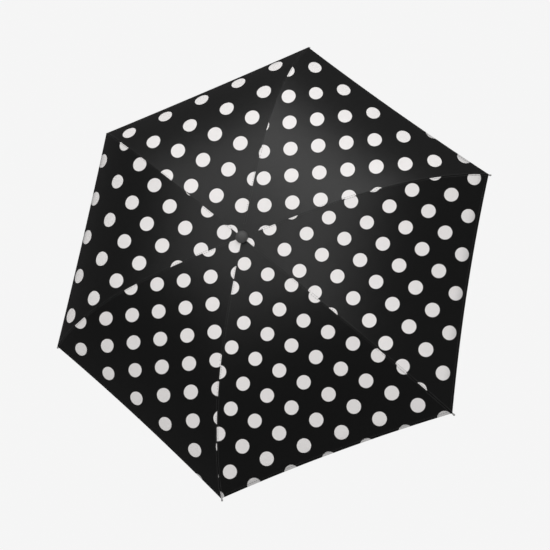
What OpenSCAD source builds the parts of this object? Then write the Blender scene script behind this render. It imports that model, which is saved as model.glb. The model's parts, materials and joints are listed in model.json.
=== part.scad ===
// Manual three-fold pocket umbrella with six ribs, shown open and fully extended.
// Millimetres. The shaft is the Z axis and the handle's bottom is at Z 0. Rib 1 points along +Y.

/* [Canopy] */
// Distance from the shaft's axis to a canopy corner
corner_r = 480; // [440:520]
// Height of the crown above the corners
crown_h = 202; // [180:225]
// How far the hem curves in between two ribs
hem_in = 7.5; // [2:14]
// Cloth and seam thickness drawn for the canopy
cloth_t = 0.6; // [0.4:1]

/* [Shaft] */
// Height of the rib pivots above the handle's bottom, shaft pulled out
pivot_z = 508; // [480:540]
// How far each of the two telescopes pushes in
tele_travel = 136; // [120:150]
// Outside diameter of the top tube, the one the runner slides on
tube_d = 13; // [11:14]
// Wall of each tube
tube_wall = 0.7; // [0.5:1]
// Gap all round between two sliding parts
slide_gap = 0.08; // [0.03:0.1]

/* [Handle] */
// Height of the handle
handle_h = 58; // [50:75]
// Radius of the handle
handle_r = 17; // [14:18]
// Width of the strap hole
strap_hole_d = 4.2; // [4.1:6]

/* [Cap] */
// Diameter of the cap on the crown
cap_d = 24; // [18:30]
// Height of the cap
cap_h = 10.8; // [8:14]

/* [Ribs] */
// Length of each inner rib
inner_len = 160; // [140:175]
// Length of each middle rib
middle_len = 168; // [150:180]
// Straight length of each outer rib
outer_len = 200.6; // [180:215]
// Length of each stretcher, wire to pivot
stretch_len = 101; // [90:110]
// Where the stretcher meets the inner rib, from its inner pivot
stretch_at = 70; // [60:80]
// Length of the metal tip past the end of each outer rib
tip_len = 11; // [7:14]

/* [Hidden] */
$fn = 48;
// open angles of the ribs and stretcher, and the tie rod's
a1 = -3.2;
a2 = -18.4876;
a3 = -42.1;
b1 = 46.993;
t1 = -3.7265;
e = 1.9; // offset of a folding pivot from the rib's middle line
notch_r = 9; // radius of the wire the inner ribs turn on
wire_r = 10; // radius of the wire the stretchers sit on
tie_len = 88.909;
tie_at = 4; // tie rod's pivot on the stretcher, from its outer pivot
lever_x = -2; // tie rod's pivot on the middle rib
lever_z = -6.549;
run_z = -77.766; // runner wire below the rib pivots, open
crown_z = 5.5; // cloth above the rib pivots
pin_r = 0.7;
hole_r = 0.78;
// shaft and handle
grip_low = 5; // top of the end cap
grip_top = 50; // foot of the collar
bore_floor = 14; // where the lower tube stands in the handle
pin_z = 30; // cross pin that holds the tube
pin_hole_r = 1.5;
ring_low = 23; // first of the grip's rings
ring_step = 4;
ring_depth = 0.7;
grip_taper = 0.06; // how the grip narrows upward
catch_w = 1.3; // half width of a spring catch
slot_w = 1.6; // half width of the slots the catches stand in
slot_h = 8;
slot_up = 3; // slot above a tube's lower end
slot_down = 17; // slot below a tube's upper end
nose_z = 2.6; // foot of a catch's nose
leaf_foot = -26; // lower end of a catch's leaf
runner_slot = 14.5; // runner catch's slot below the runner wire
// crown and runner
wire_t = 0.6; // radius of the two ring wires
screw_r = 2.5;
washer_r = 14;
notch_top = 4.4; // top of the notch above the rib pivots
cloth_hole_r = 9.2;
flange_r = 12.2; // runner's flange
neck_r = 7.6; // runner's neck
// ribs: half widths, and the deeper length at their ends
inner_w = 2;
middle_w = 1.4;
middle_in = 0.95; // inside half width of the middle rib
outer_w = 0.85;
stretch_w = 2.6;
stretch_in = 2.1; // inside half width of a stretcher
knuckle = 7;
tip_r = 1.5;
ball_r = 2.1;
rod_y = 3.25; // tie rod beside the rib's middle plane
rod_r = 0.5;
// closing strap
strap_at = 120; // from the outer rib's pivot
strap_l = 62;
strap_w = 15;
strap_t = 0.8;
strap_tilt = 6;
snap_r = 4.5;
snap_t = 1.6;
t_r = tube_d / 2;
m_r = t_r - tube_wall - slide_gap; // middle tube
l_r = m_r - tube_wall - slide_gap; // lower tube
top_bot = handle_h + 2 * tele_travel;
mid_bot = handle_h + tele_travel;
overlap = 24;
arc_half = 9.9; // half the outer rib's bend
arc_r = outer_len / (2 * sin(arc_half));

function dirv(a) = [cos(a), sin(a)];
function nrm(a) = [-sin(a), cos(a)];
function arm_angle(k) = 90 - 60 * (k - 1);
// pivots of one arm in its own upright plane, from the crown pivots
PA = [notch_r, 0];
PD = PA + inner_len * dirv(a1) + e * nrm(a1);
PF = PD + middle_len * dirv(a2) - 2 * e * nrm(a2);
PV = PA + stretch_at * dirv(a1);
PB = [wire_r, run_z];
PH = PV - tie_at * dirv(b1);

// places a sub-part drawn along +X at pivot p of arm k, turned up by angle a
module on_arm(k, p, a) {
    rotate([0, 0, arm_angle(k)]) translate([p[0], 0, pivot_z + p[1]]) rotate([0, -a, 0]) children();
}
// a bar along X from x0 to x1, half width w, between heights z0 and z1
module bar(x0, x1, w, z0, z1) {
    translate([x0, -w, z0]) cube([x1 - x0, 2 * w, z1 - z0]);
}
// a round pin or eye across the bar, from y0 to y1
module cross(x, z, r, y0, y1) {
    translate([x, y1, z]) rotate([90, 0, 0]) cylinder(r = r, h = y1 - y0, $fn = 24);
}
// a flat plate in the arm's plane, between y0 and y1
module plate(pts, y0, y1) {
    translate([0, y1, 0]) rotate([90, 0, 0]) linear_extrude(y1 - y0) polygon(pts);
}
module ring_tube(r1, r0, z0, z1) {
    difference() {
        translate([0, 0, z0]) cylinder(r = r1, h = z1 - z0);
        translate([0, 0, z0 - 1]) cylinder(r = r0, h = z1 - z0 + 2);
    }
}

// ---- handle ----
module handle_grip() {
    d = ring_depth;
    rings = [for (i = [0:4]) for (p = [[0, 0], [d, -d], [2 * d, 0]]) [p[0] + ring_low + ring_step * i, p[1]]];
    color("#26272a") difference() {
        rotate_extrude() polygon(concat(
            [[0, grip_low], [handle_r - 1.5, grip_low], [handle_r, 8], [handle_r, 20]],
            [for (p = rings) [handle_r - 0.3 - (p[0] - ring_low) * grip_taper + p[1], p[0]]],
            [[handle_r - 1.6, 46], [handle_r - 1.6, grip_top], [0, grip_top]]));
        translate([0, 0, bore_floor]) cylinder(r = l_r, h = 40);
        cylinder(r = 5, h = 12);
        translate([0, 0, pin_z]) rotate([0, 90, 0]) cylinder(r = pin_hole_r, h = 60, center = true);
    }
}
module handle_end_cap() {
    color("#303135") difference() {
        rotate_extrude() polygon([[0, 0], [handle_r - 4.5, 0], [handle_r - 2, 1.6],
            [handle_r - 1.5, grip_low], [0, grip_low]]);
        translate([0, 0, -1]) cylinder(d = strap_hole_d, h = 10);
    }
}
module handle_collar() {
    color("#3c3e42") difference() {
        rotate_extrude() polygon([[0, grip_top], [handle_r - 1.6, grip_top],
            [handle_r - 1.2, grip_top + 2], [handle_r - 1.2, handle_h - 1.2],
            [handle_r - 2.6, handle_h - 0.4], [0, handle_h - 0.4]]);
        translate([0, 0, grip_top - 1]) cylinder(r = l_r, h = 12);
    }
}
module handle_pin() {
    color("#8e9196") translate([0, 0, pin_z]) rotate([0, 90, 0])
        cylinder(r = pin_hole_r, h = 2 * handle_r - 2.4, center = true);
}
module lower_tube() {
    z1 = mid_bot + overlap - 4;
    color("#b9bcc1") difference() {
        ring_tube(l_r, l_r - tube_wall, bore_floor, z1);
        translate([0, 0, pin_z]) rotate([0, 90, 0]) cylinder(r = pin_hole_r, h = 40, center = true);
        translate([0, 0, z1 - slot_down]) bar(2, 7, slot_w, 0, slot_h);
    }
}
// spring catch: a leaf inside a tube with a nose through its wall
module catch(r_in, r_out, z0) {
    difference() {
        translate([0, 0, z0]) union() {
            bar(r_in - 1.6, r_in - 1.2, catch_w, leaf_foot, 7.6);
            bar(r_in - 1.4, r_out - 1.1, catch_w, 0.6, 7);
            bar(r_in - 1.4, r_out, catch_w, nose_z, 7);
            bar(-r_in + 0.35, r_in - 1.3, catch_w, leaf_foot, leaf_foot + 0.4);
        }
        translate([r_out, -3, z0 + nose_z]) rotate([0, -35, 0]) cube([4, 6, 12]);
    }
}
module lower_catch() { color("#9a9da2") catch(l_r - tube_wall, m_r + 0.3, mid_bot + slot_up); }
module middle_tube() {
    z1 = top_bot + overlap - 4;
    color("#c3c6ca") difference() {
        ring_tube(m_r, l_r + slide_gap, mid_bot, z1);
        translate([0, 0, mid_bot + slot_up]) bar(2, 9, slot_w, 0, slot_h);
        translate([0, 0, z1 - slot_down]) bar(2, 9, slot_w, 0, slot_h);
    }
}
module middle_catch() { color("#9a9da2") catch(m_r - tube_wall, t_r + 0.3, top_bot + slot_up); }
module upper_tube() {
    color("#cdd0d4") difference() {
        ring_tube(t_r, m_r + slide_gap, top_bot, pivot_z + 1);
        translate([0, 0, top_bot + slot_up]) bar(2, 9, slot_w, 0, slot_h);
        translate([0, 0, pivot_z + run_z - runner_slot]) bar(2, 9, slot_w, 0, slot_h + 1);
    }
}
module runner_catch() {
    color("#9a9da2") catch(m_r + slide_gap, t_r + 2.2, pivot_z + run_z - runner_slot + 0.4);
}

// ---- crown ----
module top_notch() {
    color("#1d1e20") translate([0, 0, pivot_z]) difference() {
        rotate_extrude() polygon([[0, -12], [7.5, -12], [7.5, -5], [11.4, -4], [11.4, 2.6],
            [10.4, notch_top], [0, notch_top]]);
        translate([0, 0, -13]) cylinder(r = t_r, h = 14);
        cylinder(r = screw_r, h = 10);
        for (k = [1:6]) rotate([0, 0, arm_angle(k)]) bar(7, 14, 2.15, -14, 2.6);
        rotate_extrude() translate([notch_r, 0]) circle(r = wire_t, $fn = 16);
        ring_tube(notch_r + wire_t, notch_r - wire_t, 0, 6);
    }
}
module notch_wire() {
    color("#a8abb0") translate([0, 0, pivot_z]) rotate_extrude() translate([notch_r, 0])
        circle(r = wire_t, $fn = 16);
}
module crown_washer() {
    color("#17181a") ring_tube(washer_r, screw_r, pivot_z + notch_top,
        pivot_z + crown_z - cloth_t / 2 - 0.1);
}
module top_cap() {
    z0 = pivot_z + crown_z + cloth_t / 2;
    r = cap_d / 2;
    color("#3a3d42") difference() {
        translate([0, 0, z0]) rotate_extrude() polygon([[0, 0], [r - 1, 0], [r, 1.2], [r, 3],
            [r * 0.94, 5.2], [r * 0.8, 7.2], [r * 0.6, 8.9], [r * 0.36, 10.1], [r * 0.14, cap_h - 0.1],
            [0, cap_h]]);
        translate([0, 0, z0 - 1]) cylinder(r = screw_r, h = 6);
    }
}
module cap_screw() {
    color("#85888d") translate([0, 0, pivot_z + 1]) cylinder(r = screw_r, h = crown_z + cloth_t / 2 + 4);
}

// ---- canopy: six gores, straight from rib to rib, bent along the ribs ----
rows = 20;
cols = 4;
function sag(f) = -crown_h * pow(f, 3);
function hem_f(s) = 1 - 4 * s * (1 - s) * hem_in / corner_r;
function row_f(i, s) = cloth_hole_r / corner_r + (hem_f(s) - cloth_hole_r / corner_r) * i / rows;
function cloth_pt(i, g, j, off) =
    let (s = j / cols, f = row_f(i, s), p = 90 - 60 * g, q = p - 60)
    [corner_r * f * ((1 - s) * cos(p) + s * cos(q)), corner_r * f * ((1 - s) * sin(p) + s * sin(q)),
        pivot_z + crown_z + off + sag(f)];
module canopy() {
    n = 6 * cols;
    pts = [for (o = [1, -1]) for (i = [0:rows]) for (c = [0:n - 1])
        cloth_pt(i, floor(c / cols), c % cols, o * cloth_t / 2)];
    function id(o, i, c) = o * (rows + 1) * n + i * n + c % n;
    tris = [
        for (i = [0:rows - 1]) for (c = [0:n - 1]) each [
            [id(0, i, c), id(0, i + 1, c), id(0, i, c + 1)],
            [id(0, i, c + 1), id(0, i + 1, c), id(0, i + 1, c + 1)],
            [id(1, i, c), id(1, i, c + 1), id(1, i + 1, c)],
            [id(1, i, c + 1), id(1, i + 1, c + 1), id(1, i + 1, c)]],
        for (c = [0:n - 1]) each [
            [id(0, rows, c), id(1, rows, c), id(0, rows, c + 1)],
            [id(0, rows, c + 1), id(1, rows, c), id(1, rows, c + 1)],
            [id(0, 0, c), id(0, 0, c + 1), id(1, 0, c)],
            [id(0, 0, c + 1), id(1, 0, c + 1), id(1, 0, c)]]];
    color("#202226") polyhedron(points = pts, faces = tris);
}

// ---- runner ----
module runner() {
    color("#1d1e20") translate([0, 0, pivot_z + run_z]) difference() {
        union() {
            translate([0, 0, -6]) cylinder(r = neck_r, h = 28);
            rotate_extrude() polygon([[0, -6], [flange_r - 1.2, -6], [flange_r, -4.8],
                [flange_r, 3], [0, 3]]);
        }
        translate([0, 0, -10]) cylinder(r = t_r + slide_gap, h = 40);
        for (k = [1:6]) rotate([0, 0, arm_angle(k)]) bar(neck_r, 14, stretch_w + 0.25, -7, 4);
        ring_tube(wire_r + wire_t, wire_r - wire_t, 0, 4);
        rotate_extrude() translate([wire_r, 0]) circle(r = wire_t, $fn = 16);
    }
}
module runner_wire() {
    color("#a8abb0") translate([0, 0, pivot_z + run_z]) rotate_extrude()
        translate([wire_r, 0]) circle(r = wire_t, $fn = 16);
}

// ---- one arm ----
module inner_rib(k) {
    color("#8d9096") on_arm(k, PA, a1) difference() {
        union() {
            bar(0, inner_len, inner_w, -1.6, 1.6);
            cross(0, 0, 1.6, -inner_w, inner_w);
            cross(inner_len, e, 1.8, -inner_w, inner_w);
            bar(inner_len - knuckle, inner_len + 1, inner_w, 0, e + 0.4);
            cross(stretch_at, 0, pin_r, -3, 3);
            cross(inner_len, e, pin_r, -2.6, 2.6);
        }
        difference() {
            union() {
                bar(-4, inner_len - knuckle - 0.5, inner_w - 0.5, -3, 1.1);
                bar(inner_len - knuckle - 0.5, inner_len + 4, inner_w - 0.5, -3, 6);
            }
            cross(stretch_at, 0, pin_r, -3, 3);
            cross(inner_len, e, pin_r, -2.6, 2.6);
        }
        cross(0, 0, 0.85, -3, 3);
    }
}
module middle_rib(k) {
    color("#6d7076") on_arm(k, PD, a2) difference() {
        union() {
            bar(0, middle_len, middle_w, -e - 1.5, -e + 1.5);
            cross(0, 0, 1.5, -middle_w, middle_w);
            plate([[-1.5, 0], [1.6, 0.6], [2.2, -3], [lever_x + 1.2, lever_z], [lever_x - 1.2, lever_z]],
                -middle_w, middle_w);
            cross(lever_x, lever_z, 1.2, -middle_w, 2.5);
            bar(middle_len - knuckle, middle_len + 1.2, middle_w, -2 * e - 1.2, -e);
            cross(middle_len, -2 * e, 1.8, -middle_w, middle_w);
            cross(middle_len, -2 * e, pin_r, -1.9, 1.9);
        }
        bar(5, middle_len - knuckle - 0.5, middle_in, -e - 4, -e + 1);
        difference() {
            bar(middle_len - knuckle - 0.5, middle_len + 4, middle_in, -2 * e - 4, 3);
            cross(middle_len, -2 * e, pin_r, -1.9, 1.9);
        }
        cross(0, 0, hole_r, -2, 2);
    }
}
module outer_rib(k) {
    color("#55585e") on_arm(k, PF, a3) difference() {
        union() {
            translate([outer_len / 2, 0, e - arc_r * cos(arc_half)]) rotate([90, 0, 0])
                rotate([0, 0, 90 - arc_half]) rotate_extrude(angle = 2 * arc_half, $fn = 96)
                    translate([arc_r, 0]) square([2.2, 2 * outer_w], center = true);
            plate([[-1.5, 0], [0, 2.9], [9, 3.6], [9, 2.4], [1.4, 0]], -outer_w, outer_w);
            cross(0, 0, 1.5, -outer_w, outer_w);
        }
        cross(0, 0, hole_r, -2, 2);
    }
}
module rib_tip(k) {
    tip = PF + e * nrm(a3) + outer_len * dirv(a3);
    color("#c9ccd0") on_arm(k, tip, a3 - arc_half) {
        rotate([0, 90, 0]) cylinder(r = tip_r, h = tip_len, $fn = 24);
        translate([tip_len, 0, 0]) sphere(r = ball_r, $fn = 24);
    }
}
module stretcher(k) {
    color("#9fa2a7") on_arm(k, PB, b1) difference() {
        union() {
            bar(0, stretch_len, stretch_w, -1.7, 1.7);
            bar(14, stretch_len - 6, stretch_w, 1.6, 2.2);
            cross(0, 0, 1.7, -stretch_w, stretch_w);
            cross(stretch_len, 0, 2, -stretch_w, stretch_w);
            cross(stretch_len - tie_at, 0, pin_r, -stretch_w, 3.9);
        }
        bar(-4, stretch_len + 4, stretch_in, -3, 1.7);
        bar(stretch_len - 6, stretch_len + 4, stretch_in, -3, 3);
        bar(-4, 12, 3, -0.35, 3);
        cross(0, 0, 0.95, -3, 3);
        cross(stretch_len, 0, hole_r, -3, 3);
    }
}
module tie_rod(k) {
    color("#b4b7bc") on_arm(k, PH, t1) difference() {
        union() {
            translate([0, rod_y, 0]) rotate([0, 90, 0]) cylinder(r = rod_r, h = tie_len, $fn = 16);
            cross(0, 0, 1.3, rod_y - rod_r, rod_y + rod_r);
            cross(tie_len, 0, 1.4, rod_y - rod_r, rod_y + rod_r);
        }
        cross(0, 0, hole_r, 2, 5);
    }
}

// ---- closing strap, on the inside of the hem beside rib 1 ----
module on_strap() {
    on_arm(1, PF, a3) translate([strap_at, 5, -1.5]) rotate([0, strap_tilt, 0]) children();
}
module tie_strap() {
    color("#1b1c1f") on_strap() cube([strap_l, strap_w, strap_t]);
}
module strap_snap() {
    color("#44474c") on_strap() translate([strap_l - 8, strap_w / 2, -snap_t])
        cylinder(r = snap_r, h = snap_t);
}

handle_grip();
handle_end_cap();
handle_collar();
handle_pin();
lower_tube();
lower_catch();
middle_tube();
middle_catch();
upper_tube();
runner_catch();
top_notch();
notch_wire();
crown_washer();
top_cap();
cap_screw();
canopy();
runner();
runner_wire();
tie_strap();
strap_snap();
inner_rib(1);  // inner_rib_1
middle_rib(1);  // middle_rib_1
outer_rib(1);  // outer_rib_1
rib_tip(1);  // rib_tip_1
stretcher(1);  // stretcher_1
tie_rod(1);  // tie_rod_1
inner_rib(2);  // inner_rib_2
middle_rib(2);  // middle_rib_2
outer_rib(2);  // outer_rib_2
rib_tip(2);  // rib_tip_2
stretcher(2);  // stretcher_2
tie_rod(2);  // tie_rod_2
inner_rib(3);  // inner_rib_3
middle_rib(3);  // middle_rib_3
outer_rib(3);  // outer_rib_3
rib_tip(3);  // rib_tip_3
stretcher(3);  // stretcher_3
tie_rod(3);  // tie_rod_3
inner_rib(4);  // inner_rib_4
middle_rib(4);  // middle_rib_4
outer_rib(4);  // outer_rib_4
rib_tip(4);  // rib_tip_4
stretcher(4);  // stretcher_4
tie_rod(4);  // tie_rod_4
inner_rib(5);  // inner_rib_5
middle_rib(5);  // middle_rib_5
outer_rib(5);  // outer_rib_5
rib_tip(5);  // rib_tip_5
stretcher(5);  // stretcher_5
tie_rod(5);  // tie_rod_5
inner_rib(6);  // inner_rib_6
middle_rib(6);  // middle_rib_6
outer_rib(6);  // outer_rib_6
rib_tip(6);  // rib_tip_6
stretcher(6);  // stretcher_6
tie_rod(6);  // tie_rod_6
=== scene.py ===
"""A folding umbrella with a black dotted cloth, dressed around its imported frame.

Metres, +Z up the shaft."""

import json
import math

import bpy
from mathutils import Matrix, Vector


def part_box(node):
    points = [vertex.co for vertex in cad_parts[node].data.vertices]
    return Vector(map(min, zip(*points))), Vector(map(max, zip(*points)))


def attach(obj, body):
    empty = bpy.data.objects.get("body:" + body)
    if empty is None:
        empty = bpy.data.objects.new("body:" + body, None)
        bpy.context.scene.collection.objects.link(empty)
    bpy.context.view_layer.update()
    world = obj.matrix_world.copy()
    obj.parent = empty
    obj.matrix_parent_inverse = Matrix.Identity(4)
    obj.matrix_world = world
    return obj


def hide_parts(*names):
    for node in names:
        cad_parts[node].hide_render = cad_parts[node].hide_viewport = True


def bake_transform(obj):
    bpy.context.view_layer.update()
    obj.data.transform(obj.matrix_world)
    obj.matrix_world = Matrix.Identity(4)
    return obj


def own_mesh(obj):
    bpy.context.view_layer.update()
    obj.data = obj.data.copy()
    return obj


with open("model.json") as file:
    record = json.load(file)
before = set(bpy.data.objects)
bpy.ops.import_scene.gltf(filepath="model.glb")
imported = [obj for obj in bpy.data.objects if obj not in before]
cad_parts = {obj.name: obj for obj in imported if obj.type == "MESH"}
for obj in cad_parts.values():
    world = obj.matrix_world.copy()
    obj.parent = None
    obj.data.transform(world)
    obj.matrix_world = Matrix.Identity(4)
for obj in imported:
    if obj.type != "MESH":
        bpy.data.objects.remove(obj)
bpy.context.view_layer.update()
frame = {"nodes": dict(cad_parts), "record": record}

# ---------------------------------------------------------------- sizes taken from the frame
CLOTH_THICK = 0.0006
cloth_low, cloth_high = (Vector(corner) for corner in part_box("canopy"))
CORNER_R = cloth_high.y
CROWN_Z = cloth_high.z - CLOTH_THICK / 2
DEPTH = cloth_high.z - cloth_low.z - CLOTH_THICK
TIP_PLANE = CROWN_Z - 0.421 * CORNER_R  # the height of the rib tips
HEM_IN = 0.0075 / 0.48  # how hollow the hem is between two corners, as a share of CORNER_R
RIBS = 6
JOINTS = {joint["name"]: joint for joint in frame["record"]["behaviour"]["joints"]}


def pivot(name):
    """Where a hinge of the frame lies."""
    return Vector(JOINTS[name]["pos_m"])


FIRST_FOLD_R = pivot("middle_rib_1_fold").y
SECOND_FOLD_R = pivot("outer_rib_1_fold").y


# ---------------------------------------------------------------- camera
CAMERA_TURN, CAMERA_RISE, CAMERA_ROLL = (math.radians(a) for a in (-36.5, 71.73, -44.09))
CAMERA_AIM = Vector((0.0477 * CORNER_R, -0.0480 * CORNER_R, TIP_PLANE + 0.0057 * CORNER_R))
CAMERA_AWAY = 4.2 * CORNER_R
CAMERA_LENS, CAMERA_SENSOR = 64.66, 36
CAMERA_BACK = Vector((
    math.cos(CAMERA_RISE) * math.cos(CAMERA_TURN),
    math.cos(CAMERA_RISE) * math.sin(CAMERA_TURN),
    math.sin(CAMERA_RISE),
))
CAMERA_PLACE = CAMERA_AIM + CAMERA_BACK * CAMERA_AWAY


def make_camera():
    """Looks down on the crown, a little from one side."""
    level = Vector((-math.sin(CAMERA_TURN), math.cos(CAMERA_TURN), 0))
    rise = CAMERA_BACK.cross(level)
    right = level * math.cos(CAMERA_ROLL) + rise * math.sin(CAMERA_ROLL)
    up = CAMERA_BACK.cross(right)
    data = bpy.data.cameras.new("camera")
    data.lens, data.sensor_width = CAMERA_LENS, CAMERA_SENSOR
    camera = bpy.data.objects.new("camera", data)
    turn = Matrix((right, up, CAMERA_BACK)).transposed().to_4x4()
    camera.matrix_world = Matrix.Translation(CAMERA_PLACE) @ turn
    bpy.context.collection.objects.link(camera)
    bpy.context.scene.camera = camera


make_camera()


# ---------------------------------------------------------------- shader arithmetic
class Value:
    """A number in a material that varies over the surface, so that sums can be written as sums."""

    def __init__(self, finish, socket):
        self.finish, self.socket = finish, socket

    def math(self, operation, *others):
        return self.finish.node("ShaderNodeMath", {"operation": operation}, [self, *others])

    def __add__(self, other):
        return self.math("ADD", other)

    def __sub__(self, other):
        return self.math("SUBTRACT", other)

    def __mul__(self, other):
        return self.math("MULTIPLY", other)

    def __rsub__(self, other):
        return self.finish.node("ShaderNodeMath", {"operation": "SUBTRACT"}, [other, self])

    __radd__, __rmul__ = __add__, __mul__


class Finish:
    """One material: a Principled shader, and the nodes that feed it."""

    def __init__(self, name, **constants):
        self.material = bpy.data.materials.new(name)
        self.material.use_nodes = True
        self.tree = self.material.node_tree
        self.shader = next(n for n in self.tree.nodes if n.type == "BSDF_PRINCIPLED")
        for socket, value in constants.items():
            self.shader.inputs[socket.replace("_", " ")].default_value = value

    def node(self, kind, settings=None, values=(), output=0, **named):
        """Adds a node. settings are set first, then its sockets by place or by name."""
        made = self.tree.nodes.new(kind)
        for key, value in (settings or {}).items():
            setattr(made, key, value)
        for place, value in [*enumerate(values), *named.items()]:
            socket = made.inputs[place if isinstance(place, int) else place.replace("_", " ")]
            self.feed(socket, value)
        return Value(self, made.outputs[output])

    def feed(self, socket, value):
        if isinstance(value, Value):
            self.tree.links.new(value.socket, socket)
        else:
            socket.default_value = value

    def place(self):
        """Position on the object at rest, in metres."""
        return self.node("ShaderNodeTexCoord", output="Object")

    def parts(self, vector):
        """The three numbers of a vector."""
        made = self.tree.nodes.new("ShaderNodeSeparateXYZ")
        self.feed(made.inputs[0], vector)
        return [Value(self, output) for output in made.outputs]

    def noise(self, scale, detail=4.0, stretch=None, where=None):
        where = where or self.place()
        if stretch:
            where = self.node("ShaderNodeVectorMath", {"operation": "MULTIPLY"}, [where, stretch])
        return self.node("ShaderNodeTexNoise", None, (), "Fac", Vector=where, Scale=scale, Detail=detail)

    def blend(self, factor, first, second):
        """first where factor is 0, second where it is 1; both are colours."""
        made = self.tree.nodes.new("ShaderNodeMix")
        made.data_type = "RGBA"
        colours = [s for s in made.inputs if s.type == "RGBA"]
        self.feed(made.inputs[0], factor)
        self.feed(colours[0], first)
        self.feed(colours[1], second)
        return Value(self, next(s for s in made.outputs if s.type == "RGBA"))

    def step(self, value, low, high):
        """0 below low, 1 above high, smooth between."""
        settings = {"interpolation_type": "SMOOTHSTEP"}
        return self.node("ShaderNodeMapRange", settings, [value, low, high, 0.0, 1.0])

    def bump(self, height, strength, distance):
        made = self.node(
            "ShaderNodeBump", None, (), 0, Height=height, Strength=strength, Distance=distance
        )
        self.feed(self.shader.inputs["Normal"], made)

    def set(self, **sockets):
        for socket, value in sockets.items():
            self.feed(self.shader.inputs[socket.replace("_", " ")], value)


def grey(level, warm=0.0):
    return (level * (1 + warm), level, level * (1 - warm), 1)


# ---------------------------------------------------------------- finishes
DOT_SHARE = 0.2555  # radius of a dot over the spacing of the dots
DOT_BLUR = 0.006  # how far the edge of a dot fades to each side, in spacings
CLOTH_THREAD, TAPE_THREAD = 0.00042, 0.0006
HEM_PAINTED_SHADE, HEM_SHADE_GREY = 0.62, 0.28  # painted shade: the dots are painted greyer towards the hem


def weave(finish, thread):
    """Height of a plain weave: threads crossing over and under."""
    across, along = finish.parts(finish.place())[:2]
    turn = math.pi / thread
    return (across * turn).math("SINE") * (along * turn).math("SINE")


def dotted_cloth(name, ground, dot, dot_dim):
    """Black pongee with off-white dots. The dots follow two attributes stored with the cloth: dot_place,
    from HalfGore.dot_place, whose third number paints shade on the dots near the hem, and dot_shape, from
    the function of that name."""
    finish = Finish(name, Specular_IOR_Level=0.5)
    where = finish.node("ShaderNodeAttribute", {"attribute_name": "dot_place"}, (), "Vector")
    nearest = finish.node("ShaderNodeVectorMath", {"operation": "FRACTION"}, [
        finish.node("ShaderNodeVectorMath", {"operation": "ADD"}, [where, (0.5, 0.5, 0.0)])
    ])
    centred = finish.node(
        "ShaderNodeVectorMath", {"operation": "SUBTRACT"}, [nearest, (0.5, 0.5, 0.0)]
    )
    u, v = finish.parts(centred)[:2]
    shape = finish.node("ShaderNodeAttribute", {"attribute_name": "dot_shape"}, (), "Vector")
    uu, uv, vv = finish.parts(shape)
    radius = (uu * u * u + uv * u * v * 2.0 + vv * v * v).math("SQRT")
    ragged = (finish.noise(2600.0, 2.0) - 0.5) * DOT_BLUR
    inside = 1.0 - finish.step(radius + ragged, DOT_SHARE - DOT_BLUR, DOT_SHARE + DOT_BLUR)
    threads = weave(finish, CLOTH_THREAD)
    slub = finish.noise(900.0, 3.0, (1.0, 0.08, 1.0))
    cloudy = finish.noise(5.0, 3.0)
    black = finish.blend(slub * 0.5 + threads * 0.25 + 0.25, grey(ground * 0.72), grey(ground * 1.3))
    white = finish.blend(cloudy * 0.7 + slub * 0.3, dot, dot_dim)
    # painted shade: dots are blended towards grey near the hem, by the third number of dot_place
    white = finish.blend(finish.parts(where)[2] * HEM_PAINTED_SHADE, white, grey(HEM_SHADE_GREY))
    finish.set(Base_Color=finish.blend(inside, black, white))
    finish.set(Roughness=0.42 + slub * 0.12 + inside * 0.2)
    finish.bump(threads * 0.5 + slub + finish.noise(60.0, 4.0) * 1.5, 0.22, 0.0004)
    return finish.material


def band_cloth():
    """Plain black tape and patches."""
    finish = Finish("strap_fabric", Specular_IOR_Level=0.2)
    threads = weave(finish, TAPE_THREAD)
    slub = finish.noise(700.0, 3.0)
    finish.set(Base_Color=finish.blend(threads * 0.4 + slub * 0.5, grey(0.005), grey(0.013)))
    finish.set(Roughness=0.7 + slub * 0.15)
    finish.bump(threads + slub, 0.4, 0.0003)
    return finish.material


def stitching():
    """Twisted thread, a little lighter than the cloth."""
    finish = Finish("stitch_thread", Specular_IOR_Level=0.3)
    twist = finish.noise(2200.0, 2.0)
    finish.set(Base_Color=finish.blend(twist, grey(0.03), grey(0.09)), Roughness=0.6 + twist * 0.2)
    finish.bump(twist, 0.3, 0.0002)
    return finish.material


EVEN, DRAWN = (1.0, 1.0, 1.0), (1.0, 1.0, 0.03)  # marks in no direction, and marks along the shaft


def drawn_metal(name, level, rough, metallic, stretch=EVEN, worn=0.35):
    """Plated or painted steel, with fine marks and duller handling marks."""
    finish = Finish(name, Specular_IOR_Level=0.5)
    marks = finish.noise(900.0, 3.0, stretch)
    smudge = finish.noise(38.0, 5.0)
    finish.set(Base_Color=finish.blend(
        marks * 0.5 + smudge * 0.5, grey(level * (1 - worn), 0.01), grey(level * 1.12, 0.0)
    ))
    finish.set(Metallic=metallic, Roughness=rough * 0.6 + marks * rough * 0.35 + smudge * rough * 0.45)
    finish.bump(marks + smudge * 0.4, 0.12, 0.0002)
    return finish.material


def moulded(name, level, rough, grain, grain_size):
    """Moulded plastic with a fine grain and slightly shiny high spots."""
    finish = Finish(name, Specular_IOR_Level=0.5)
    pits = finish.noise(grain_size, 2.0)
    flow = finish.noise(24.0, 4.0)
    finish.set(Base_Color=finish.blend(flow, grey(level * 0.85), grey(level * 1.2, 0.01)))
    finish.set(Roughness=rough + flow * 0.14 - pits * 0.1)
    finish.bump(pits + flow * 0.3, grain, 0.0003)
    return finish.material


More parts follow.
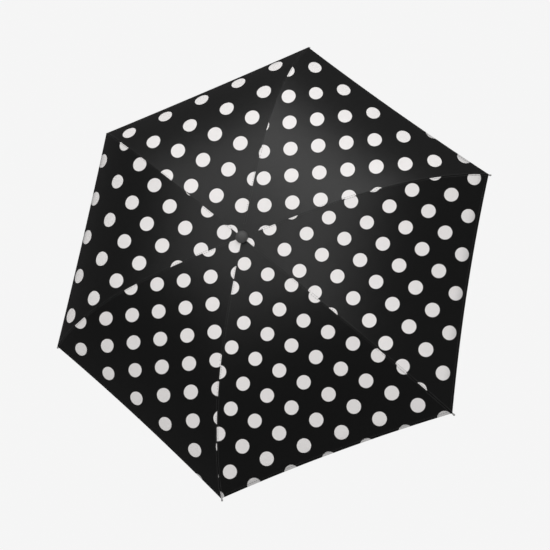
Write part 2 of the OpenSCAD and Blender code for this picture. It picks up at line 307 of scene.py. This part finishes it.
FINISHES = {
    "dotted_fabric": dotted_cloth(
        "dotted_fabric", 0.0034, (0.75, 0.725, 0.715, 1), (0.68, 0.662, 0.655, 1)
    ),
    "strap_fabric": band_cloth(),
    "grip_plastic": moulded("grip_plastic", 0.022, 0.58, 0.4, 1100.0),
    "cap_plastic": moulded("cap_plastic", 0.052, 0.62, 0.12, 1900.0),
    "black_plastic": moulded("black_plastic", 0.016, 0.32, 0.15, 1600.0),
    "tube_steel": drawn_metal("tube_steel", 0.74, 0.34, 0.72, DRAWN),
    "bright_steel": drawn_metal("bright_steel", 0.62, 0.34, 0.72),
    "rib_steel": drawn_metal("rib_steel", 0.20, 0.42, 0.85, worn=0.45),
    "rib_fibre": moulded("rib_fibre", 0.075, 0.42, 0.2, 1300.0),
    "tip_metal": drawn_metal("tip_metal", 0.74, 0.26, 0.7, worn=0.2),
    "snap_metal": drawn_metal("snap_metal", 0.22, 0.35, 1.0),
}
CLOTH_UNDER = dotted_cloth(
    "dotted_fabric_under", 0.008, (0.36, 0.35, 0.345, 1), (0.27, 0.265, 0.26, 1)
)
THREAD = stitching()


def dress_frame():
    """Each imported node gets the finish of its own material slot."""
    slots = {part["node"]: part["material_slot"] for part in frame["record"]["subparts"]}
    for name, node in frame["nodes"].items():
        node.data.materials.clear()
        node.data.materials.append(FINISHES[slots[name]])


dress_frame()


# ---------------------------------------------------------------- the cloth's shape
# The print is laid out to look even from the camera: it lies on the plane of the rib tips and is
# carried up to the cloth along the lines to the camera's place.
PRINT_HEIGHT = CAMERA_PLACE.z - TIP_PLANE
PRINT_LEAN = (CAMERA_PLACE.x / PRINT_HEIGHT, CAMERA_PLACE.y / PRINT_HEIGHT)
# For each gore: how far apart its dots are, where the lattice starts, in spacings, and by how many
# degrees the gore was cut out of line with the print.
PRINT = {
    1: (0.0592, 0.102, -0.020, 2.4),
    2: (0.0560, -0.185, -0.018, 0.3),
    3: (0.0554, 0.234, 0.370, 0.9),
    4: (0.0584, 0.214, 0.068, -0.9),
    5: (0.0614, -0.464, -0.193, -1.3),
    6: (0.0621, -0.390, -0.485, -1.6),
}
# A dot is drawn out as far as the lattice up to DRAWN_OUT times, and past that by this share as much.
DRAWN_OUT, DRAWN_FURTHER = 1.35, 0.35
NO_DOT = ((0.5, 0.5, 0.0), (1.0, 0.0, 1.0))  # a place between the dots, and a round dot's shape


def rib_angle(k):
    return math.radians(90 - 60 * (k - 1))


def flat_direction(angle):
    return Vector((math.cos(angle), math.sin(angle), 0))


def fall(f):
    """How steeply the cloth runs down along a rib: its drop over its run."""
    return 3 * DEPTH / CORNER_R * f * f


class HalfGore:
    """Half a gore: from rib k's line to the middle of the gore on one side of it.

    A place on it is f, the share of the way to the corner along the ribs, and across,
    the distance from the rib's line along the straight chord to the next rib.
    """

    def __init__(self, k, side):
        self.rib = flat_direction(rib_angle(k))
        self.chord = flat_direction(rib_angle(k + side)) - self.rib
        self.gore = k if side > 0 else (k - 2) % RIBS + 1
        middle = math.radians(60 - 60 * (self.gore - 1))
        self.middle, self.along = flat_direction(middle), flat_direction(middle + math.pi / 2)

    def point(self, f, across):
        flat = self.rib * (CORNER_R * f) + self.chord * across
        return Vector((flat.x, flat.y, CROWN_Z - DEPTH * f**3))

    def normal(self, f):
        """The cloth is straight along the chord, so its normal depends on f only."""
        down_rib = self.rib * CORNER_R + Vector((0, 0, -3 * DEPTH * f * f))
        n = down_rib.cross(self.chord).normalized()
        return n if n.z > 0 else -n

    def dot_place(self, p, hem=0.0):
        """Where a point of the cloth lies on the printed lattice of dots, in spacings, and how close it
        is to the hem, from 0 to 1: the dots get painted shade near the hem."""
        spacing, first, second, turn = PRINT[self.gore]
        height = p.z - TIP_PLANE
        spread = 1 / (1 - height / PRINT_HEIGHT)
        flat = Vector((p.x - PRINT_LEAN[0] * height, p.y - PRINT_LEAN[1] * height, 0)) * spread
        a, b = flat.dot(self.middle), flat.dot(self.along)
        diagonal = math.sqrt(2) * spacing
        u, v = (a + b) / diagonal, (a - b) / diagonal
        c, s = math.cos(math.radians(turn)), math.sin(math.radians(turn))
        return (u * c + v * s - first, v * c - u * s - second, hem)


def dot_shape(half_gore, f, across):
    """How far a dot reaches over the cloth, as the three numbers of a quadratic form.

    The lattice is drawn out where the cloth is steep; the dots are drawn out less than the lattice."""
    here, step = half_gore.point(f, across), 0.001
    down, over = half_gore.point(f + step, across), half_gore.point(f, across + step)
    origin, along, beside = (half_gore.dot_place(p) for p in (here, down, over))
    from_print = Matrix((
        ((along[0] - origin[0]), (beside[0] - origin[0])),
        ((along[1] - origin[1]), (beside[1] - origin[1])),
    )).inverted()
    # the steps over the cloth that go one spacing along each axis of the print, and their products
    axes = [(down - here) * from_print[0][i] + (over - here) * from_print[1][i] for i in (0, 1)]
    spacing = PRINT[half_gore.gore][0]
    g11, g12, g22 = (axes[i].dot(axes[j]) / spacing**2 for i, j in ((0, 0), (0, 1), (1, 1)))
    middle, spread = (g11 + g22) / 2, math.hypot((g11 - g22) / 2, g12)
    angle = math.atan2(g12, (g11 - g22) / 2) / 2
    long = math.sqrt(middle + spread)
    allowed = min(long, DRAWN_OUT + DRAWN_FURTHER * max(0.0, long - DRAWN_OUT))
    extra = (long / allowed) ** 2 - 1
    c, s = math.cos(angle), math.sin(angle)
    return (1 + extra * c * c, extra * c * s, 1 + extra * s * s)


SEAM_COLUMNS = (0.0, 0.0014, 0.0024, 0.0031, 0.0038)  # their distances from the rib's line
NARROW_GORE = 0.012  # where half the gore is narrower than this, those columns draw together
PLAIN_COLUMNS = 12
SEAM_WIDTH, SEAM_TOP, SEAM_UNDER = 0.0034, 0.00028, 0.0008
HEM_WIDTH, HEM_TOP, HEM_UNDER = 0.0078, 0.00022, 0.0007
FOLD_EDGE = 0.0007  # over this width the seam's and the hem's fold thins out


def column_places(f):
    """Distances from the rib's line for the columns of vertices at f: close together on the seam."""
    half = CORNER_R * f / 2
    seam = [d * min(1, half / NARROW_GORE) for d in SEAM_COLUMNS]
    step = (half - seam[-1]) / PLAIN_COLUMNS
    return seam + [seam[-1] + step * (i + 1) for i in range(PLAIN_COLUMNS)]


def hem_share(across, f):
    """How far out the cloth reaches on the chord: the hem is hollow between the corners."""
    s = across / (CORNER_R * f)
    return 1 - 4 * s * (1 - s) * HEM_IN


def smooth(x):
    x = max(0.0, min(1.0, x))
    return x * x * (3 - 2 * x)


def extra_thickness(across, to_hem, top):
    """The seam and the hem are folded double, so the cloth stands a little thicker there."""
    seam = 1 - smooth((across - SEAM_WIDTH + FOLD_EDGE) / FOLD_EDGE)
    hem = 1 - smooth((to_hem - HEM_WIDTH + FOLD_EDGE) / FOLD_EDGE)
    return max((SEAM_TOP if top else SEAM_UNDER) * seam, (HEM_TOP if top else HEM_UNDER) * hem)


def turn_outward(mesh):
    """Turns a closed mesh's faces outward."""
    mesh.calc_loop_triangles()
    points = [v.co for v in mesh.vertices]
    corners = [t.vertices for t in mesh.loop_triangles]
    if sum(points[a].dot(points[b].cross(points[c])) for a, b, c in corners) < 0:
        mesh.flip_normals()


def link(name, verts, faces, normals, dots, face_slots, materials):
    """A mesh object. dots holds each vertex's place on the print and the shape of a dot there."""
    mesh = bpy.data.meshes.new(name)
    mesh.from_pydata(verts, [], faces)
    for material in materials:
        mesh.materials.append(material)
    for polygon, slot in zip(mesh.polygons, face_slots):
        polygon.material_index = slot
        polygon.use_smooth = True
    for which, attribute in enumerate(("dot_place", "dot_shape") if dots else ()):
        stored = mesh.attributes.new(attribute, "FLOAT_VECTOR", "POINT")
        stored.data.foreach_set("vector", [c for dot in dots for c in dot[which]])
    turn_outward(mesh)
    if normals:
        mesh.normals_split_custom_set_from_vertices(normals)
    obj = bpy.data.objects.new(name, mesh)
    bpy.context.collection.objects.link(obj)
    return obj


def rim(height, width):
    """The vertices round the edge of a grid, in order."""
    edge = list(range(width))
    edge += [i * width + width - 1 for i in range(1, height)]
    edge += [(height - 1) * width + j for j in range(width - 2, -1, -1)]
    edge += [i * width for i in range(height - 2, 0, -1)]
    return edge


BOX_LOOPS = ((0, 3, 2, 1), (4, 5, 6, 7), (0, 1, 5, 4), (1, 2, 6, 5), (2, 3, 7, 6), (3, 0, 4, 7))


def box_faces(corners, first, turned):
    """The faces of a box whose corners are numbered from first, wound inward when turned is true."""
    x, y, z = corners[1] - corners[0], corners[3] - corners[0], corners[4] - corners[0]
    outward = (x.cross(y).dot(z) > 0) != turned
    loops = BOX_LOOPS if outward else [loop[::-1] for loop in BOX_LOOPS]
    return [tuple(first + i for i in loop) for loop in loops]


def shell(name, rows, materials, boxes=()):
    """A thin closed shell. rows holds, for each row, (point, normal, up, down, dot) for each column.

    The materials are the upper skin's, the under skin's and, when there are boxes on it, theirs."""
    height, width = len(rows), len(rows[0])
    half = height * width
    verts, normals, dots = [], [], []
    for skin in (1, -1):
        for row in rows:
            for point, normal, up, down, dot in row:
                verts.append(point + normal * (up if skin > 0 else -down))
                normals.append(normal * skin)
                dots.append(dot)
    faces, slots = [], []
    for i in range(height - 1):
        for j in range(width - 1):
            a, b = i * width + j, (i + 1) * width + j
            faces += [(a, b, b + 1, a + 1), (half + a, half + a + 1, half + b + 1, half + b)]
            slots += [0, 1]
    edge = rim(height, width)
    for a, b in zip(edge, edge[1:] + edge[:1]):
        faces.append((a, b, half + b, half + a))
        slots.append(0)
    first, second = rows[0][0][0], rows[1][0][0]
    turned = (second - first).cross(rows[1][1][0] - second).dot(rows[0][0][1]) < 0
    for corners in boxes:
        centre = sum(corners, Vector()) / 8
        faces += box_faces(corners, len(verts), turned)
        slots += [len(materials) - 1] * len(BOX_LOOPS)
        verts += corners
        normals += [(corner - centre).normalized() for corner in corners]
        dots += [NO_DOT] * 8
    return link(name, verts, faces, normals, dots, slots, materials)


def crease(radius, slope):
    """Where the cloth creases as a rib folds: an upright plane across the rib, given as where it
    meets the rib's line and how steeply the rib runs down there."""
    f = radius / CORNER_R
    return (radius, CROWN_Z - DEPTH * f**3, math.radians(slope))


CROWN_PATCH_R = 0.024
HOLE_EDGE = crease(0.0045, 0)
CROWN_EDGE = crease(CROWN_PATCH_R, 1)
FIRST_FOLD = crease(FIRST_FOLD_R, 11)
NEAR_SPLIT, FAR_SPLIT = crease(0.235, 17), crease(0.285, 24)
SECOND_FOLD = crease(SECOND_FOLD_R, 30)
# Along a rib: each stretch of cloth, the creases it lies between (None is the hem), its rows of
# vertices, the rib it rides on and the share of its width kept when the umbrella is shut.
STRETCHES = (
    ("crown", HOLE_EDGE, CROWN_EDGE, 8, None, 1),
    ("inner", CROWN_EDGE, FIRST_FOLD, 14, "inner_rib_{}", 0.10),
    ("middle_near", FIRST_FOLD, NEAR_SPLIT, 7, "middle_rib_{}", 0.08),
    ("middle", NEAR_SPLIT, FAR_SPLIT, 6, "middle_rib_{}", 0.08),
    ("middle_far", FAR_SPLIT, SECOND_FOLD, 6, "middle_rib_{}", 0.07),
    ("outer", SECOND_FOLD, None, 20, "outer_rib_{}", 0.085),
)
SLANT = CORNER_R * 1.25  # length along a rib for a change of 1 in f, near the hem
HEM_SHADE = 0.034  # painted shade: the dots are painted greyer this close to the hem


def reach(column, line):
    """f where a column of vertices crosses a crease, or reaches the hem."""
    if line is None:
        return hem_share(column_places(1)[column], 1)
    radius, height, slope = line
    low, high = 0.001, 1.2
    for _ in range(40):
        f = (low + high) / 2
        out = CORNER_R * f - column_places(f)[column] / 2 - radius
        drop = height - (CROWN_Z - DEPTH * f**3)
        if out * math.cos(slope) + drop * math.sin(slope) < 0:
            low = f
        else:
            high = f
    return min((low + high) / 2, hem_share(column_places(1)[column], 1))


def row_shares(count, length, at_hem):
    """Shares of the way from one crease to the next, with rows close together on the hem's fold."""
    if not at_hem:
        return [i / count for i in range(count + 1)]
    fold = HEM_WIDTH / length
    plain = [i / count * (1 - fold * 1.12) for i in range(count + 1)]
    return plain + [1 - fold, 1 - fold * 0.9, 1 - fold * 0.45, 1.0]


NOT_NEAR = 1.0  # stands for the distance to the hem on stretches that don't reach it


def cloth_rows(half_gore, start, end, count):
    """Rows of the shell between two creases."""
    columns = range(len(SEAM_COLUMNS) + PLAIN_COLUMNS)
    limits = [(reach(j, start), reach(j, end)) for j in columns]
    rows = []
    for share in row_shares(count, (limits[0][1] - limits[0][0]) * SLANT, end is None):
        row = []
        for j, (first, last) in zip(columns, limits):
            f = first + (last - first) * share
            across = column_places(f)[j]
            to_hem = (last - f) * SLANT if end is None else NOT_NEAR
            p, n = half_gore.point(f, across), half_gore.normal(f)
            up, down = (CLOTH_THICK / 2 + extra_thickness(across, to_hem, top) for top in (True, False))
            # the third number of dot_place is the painted shade on the dots, rising towards the hem
            dot = half_gore.dot_place(p, smooth(1 - to_hem / HEM_SHADE))
            row.append((p, n, up, down, (dot, dot_shape(half_gore, f, across))))
        rows.append(row)
    return rows


STITCH_LONG, STITCH_STEP, STITCH_WIDE, STITCH_TALL = 0.0032, 0.0046, 0.00055, 0.0003
STITCH_TAPER = 0.7  # size of a stitch's top as a share of its foot
STITCH_SUNK = 0.6  # height of its foot above the plain cloth as a share of the seam's
SEAM_STITCH, HEM_STITCH = 0.0021, 0.0060  # from the rib's line, and from the hem
SEAM_STITCH_START, HEM_STITCH_START = 0.012, 0.006  # from the shaft, and from the rib's line


def stitch_places(half_gore, start, end):
    """Ends of the stitches of a stretch: along the seam, and along the hem when it reaches that far."""
    places = []
    first, last = reach(0, start), reach(0, end)
    f = first + 0.5 * STITCH_STEP / CORNER_R
    while f * CORNER_R + STITCH_LONG < last * CORNER_R and f * CORNER_R > SEAM_STITCH_START:
        places.append((half_gore, f, SEAM_STITCH, f + STITCH_LONG / CORNER_R, SEAM_STITCH))
        f += STITCH_STEP / CORNER_R / math.hypot(1, fall(f))
    if end is None:
        across = HEM_STITCH_START
        while across < CORNER_R / 2 - STITCH_LONG:
            near, far = (
                hem_share(a, 1) - HEM_STITCH / SLANT for a in (across, across + STITCH_LONG)
            )
            places.append((half_gore, near, across, far, across + STITCH_LONG))
            across += STITCH_STEP
    return places


def stitch_box(half_gore, f_a, across_a, f_b, across_b):
    """One stitch lying on the cloth, as the corners of a box that tapers to its top."""
    a, b = half_gore.point(f_a, across_a), half_gore.point(f_b, across_b)
    n = half_gore.normal((f_a + f_b) / 2)
    side = (b - a).normalized().cross(n)
    base = n * (CLOTH_THICK / 2 + SEAM_TOP * STITCH_SUNK)
    low = [a - side * STITCH_WIDE / 2, a + side * STITCH_WIDE / 2,
           b + side * STITCH_WIDE / 2, b - side * STITCH_WIDE / 2]
    middle = (a + b) / 2
    high = [middle + (corner - middle) * STITCH_TAPER + n * STITCH_TALL for corner in low]
    return [corner + base for corner in low + high]


def flat_area(rows):
    """Area of the cloth's middle surface."""
    total = 0.0
    for upper, lower in zip(rows, rows[1:]):
        for a, b, c, d in zip(upper, upper[1:], lower[1:], lower):
            total += (b[0] - a[0]).cross(d[0] - a[0]).length / 2
            total += (b[0] - c[0]).cross(d[0] - c[0]).length / 2
    return total


def gather_axis(rows):
    """The direction, square to the rib, in which a stretch of cloth gathers to it."""
    rib_line = (rows[-1][0][0] - rows[0][0][0]).normalized()
    total = Vector()
    for row in rows:
        for point, *_ in row:
            arm = point - rows[0][0][0]
            total += arm - rib_line * arm.dot(rib_line)
    return total.normalized()


CLOTH = [FINISHES["dotted_fabric"], CLOTH_UNDER, THREAD]


def make_stretch(k, half_gore, letter, stretch):
    """One stretch of a half gore, fastened to what carries it."""
    name, start, end, count, body, keep = stretch
    rows = cloth_rows(half_gore, start, end, count)
    boxes = [stitch_box(*place) for place in stitch_places(half_gore, start, end)]
    piece = shell(f"cloth_{k}{letter}_{name}", rows, CLOTH, boxes)
    area = flat_area(rows)
    if body:
        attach(piece, body.format(k))
        gather_axis(rows)
        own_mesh(piece)
    else:
        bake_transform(piece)
    return piece


def make_cloth():
    """The canopy: on each rib two half gores, each in stretches that fold with the rib's pieces."""
    pieces = []
    for k in range(1, RIBS + 1):
        for side, letter in ((1, "a"), (-1, "b")):
            half_gore = HalfGore(k, side)
            pieces += [make_stretch(k, half_gore, letter, stretch) for stretch in STRETCHES]
    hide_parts("canopy")


make_cloth()


# ---------------------------------------------------------------- patches and ties under the cloth
PATCH_LONG, PATCH_THICK, PATCH_DROP = 0.046, 0.0004, 0.0014
PATCH_ROWS, PATCH_COLUMNS = 16, 5
PATCH_ROUNDING = 0.25  # how much narrower a patch is at its ends
TIE_TURNS, TIE_STEPS, TIE_SIDES = 3, 20, 6
TIE_WIDE, TIE_TALL, TIE_PITCH, TIE_THREAD = 0.0052, 0.0075, 0.0008, 0.00035
TIE_SUNK = 0.4  # how far a tie's top lies in the cloth's thickness
TIE_PLACES = (("inner", 0.118), ("middle", 0.247), ("outer", 0.405))
HALF_GORE_ANGLE = math.radians(30)


def make_fold_patch(k, name, radius, wide):
    """A patch of tape sewn under the cloth where a rib folds, so the joint doesn't chafe it."""
    half_gore = HalfGore(k, 1)
    around = Vector((0, 0, 1)).cross(half_gore.rib)
    rows = []
    for i in range(PATCH_ROWS + 1):
        f = (radius + PATCH_LONG * (i / PATCH_ROWS - 0.5)) / CORNER_R
        on_rib, row = half_gore.point(f, 0.0), []
        n = (half_gore.rib * fall(f) + Vector((0, 0, 1))).normalized()
        for j in range(-PATCH_COLUMNS, PATCH_COLUMNS + 1):
            side = wide / 2 * j / PATCH_COLUMNS * (1 - PATCH_ROUNDING * (2 * i / PATCH_ROWS - 1) ** 4)
            sag = abs(side) * math.tan(HALF_GORE_ANGLE) * fall(f)
            p = on_rib + around * side - n * PATCH_DROP - Vector((0, 0, sag))
            row.append((p, n, PATCH_THICK / 2, PATCH_THICK / 2, NO_DOT))
        rows.append(row)
    patch = shell(f"{name}_patch_{k}", rows, [FINISHES["strap_fabric"]] * 2)
    fold = half_gore.point(radius / CORNER_R, 0.0)
    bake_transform(patch)


def make_tie(k, name, radius, body):
    """Thread sewn through the cloth and wound round a rib, to hold the two together."""
    half_gore = HalfGore(k, 1)
    f = radius / CORNER_R
    slope = math.atan(fall(f))
    ahead = (half_gore.rib * math.cos(slope) - Vector((0, 0, math.sin(slope)))).normalized()
    around = Vector((0, 0, 1)).cross(half_gore.rib)
    upward = around.cross(ahead) if around.cross(ahead).z > 0 else ahead.cross(around)
    centre = half_gore.point(f, 0.0) - upward * CLOTH_THICK * TIE_SUNK - upward * TIE_TALL / 2
    verts, faces = [], []
    for i in range(TIE_TURNS * TIE_STEPS + 1):
        angle = math.tau * i / TIE_STEPS
        out = around * (TIE_WIDE / 2 * math.cos(angle)) + upward * (TIE_TALL / 2 * math.sin(angle))
        middle = centre + out + ahead * (TIE_PITCH * (i / TIE_STEPS - TIE_TURNS / 2))
        for j in range(TIE_SIDES):
            turn = math.tau * j / TIE_SIDES
            round_thread = out.normalized() * math.cos(turn) + ahead * math.sin(turn)
            verts.append(middle + round_thread * TIE_THREAD)
    for i in range(TIE_TURNS * TIE_STEPS):
        for j in range(TIE_SIDES):
            a, b = i * TIE_SIDES + j, i * TIE_SIDES + (j + 1) % TIE_SIDES
            faces.append((a, b, b + TIE_SIDES, a + TIE_SIDES))
    last = TIE_TURNS * TIE_STEPS * TIE_SIDES
    faces.append(tuple(range(TIE_SIDES))[::-1])
    faces.append(tuple(range(last, last + TIE_SIDES)))
    tie = link(f"tie_{name}_{k}", verts, faces, None, None, [0] * len(faces), [THREAD])
    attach(tie, body)


def make_fastenings():
    """On each rib: a patch under each of its two folds, and a tie on each of its three pieces."""
    for k in range(1, RIBS + 1):
        make_fold_patch(k, "first", FIRST_FOLD_R, 0.016)
        make_fold_patch(k, "second", SECOND_FOLD_R, 0.026)
        for name, radius in TIE_PLACES:
            make_tie(k, name, radius, f"{name}_rib_{k}")


make_fastenings()


# ---------------------------------------------------------------- surroundings
def glow(strength, colour):
    world = bpy.data.worlds.new("surroundings")
    bpy.context.scene.world = world
    world.use_nodes = True
    background = world.node_tree.nodes["Background"]
    background.inputs["Color"].default_value = colour
    background.inputs["Strength"].default_value = strength


def soft_light(name, place, aim, size, power, mirrored=True):
    data = bpy.data.lights.new(name, "AREA")
    data.shape, data.size, data.energy = "DISK", size, power
    lamp = bpy.data.objects.new(name, data)
    lamp.location, lamp.visible_glossy = place, mirrored
    lamp.rotation_euler = (Vector(aim) - Vector(place)).to_track_quat("-Z", "Y").to_euler()
    bpy.context.collection.objects.link(lamp)


FLOOR_R, WALL_CURVE_R, WALL_TOP, WALL_SIDES = 4.0, 1.5, 3.4, 48
STUDIO_GLOW, SURROUNDING_GLOW = 0.915, 0.07
WALL_CURVE = [math.radians(a) for a in range(10, 91, 10)]


def make_studio():
    """A pale floor that curves up into a round wall, lit from inside the surface so it has no shading."""
    finish = Finish(
        "studio", Specular_IOR_Level=0.0, Emission_Color=grey(1.0), Emission_Strength=STUDIO_GLOW
    )
    mottle = finish.noise(3.0, 3.0)
    finish.set(Base_Color=finish.blend(mottle, grey(0.012), grey(0.022)), Roughness=0.9)
    profile = [(FLOOR_R, 0.0)]
    for a in WALL_CURVE:
        profile.append((FLOOR_R + WALL_CURVE_R * math.sin(a), WALL_CURVE_R * (1 - math.cos(a))))
    profile.append((FLOOR_R + WALL_CURVE_R, WALL_TOP))
    verts, faces = [], []
    for radius, height in profile:
        for i in range(WALL_SIDES):
            place = flat_direction(math.tau * i / WALL_SIDES) * radius
            verts.append(place + Vector((0, 0, height)))
    for row in range(len(profile) - 1):
        low, high = row * WALL_SIDES, (row + 1) * WALL_SIDES
        for i in range(WALL_SIDES):
            after = (i + 1) % WALL_SIDES
            faces.append((low + i, low + after, high + after, high + i))
    faces.append(tuple(range(WALL_SIDES)))
    studio = link("studio", verts, faces, None, None, [0] * len(faces), [finish.material])
    studio.visible_glossy = False


make_studio()
glow(SURROUNDING_GLOW, (1, 1, 1, 1))
soft_light("key", (-0.05, 1.5, 2.3), (0, 0, 0.5), 3.0, 48)
soft_light("fill", (0.35, -1.1, 3.3), (0, 0, 0.6), 2.4, 46, mirrored=False)
bpy.context.scene.view_settings.view_transform = "Standard"
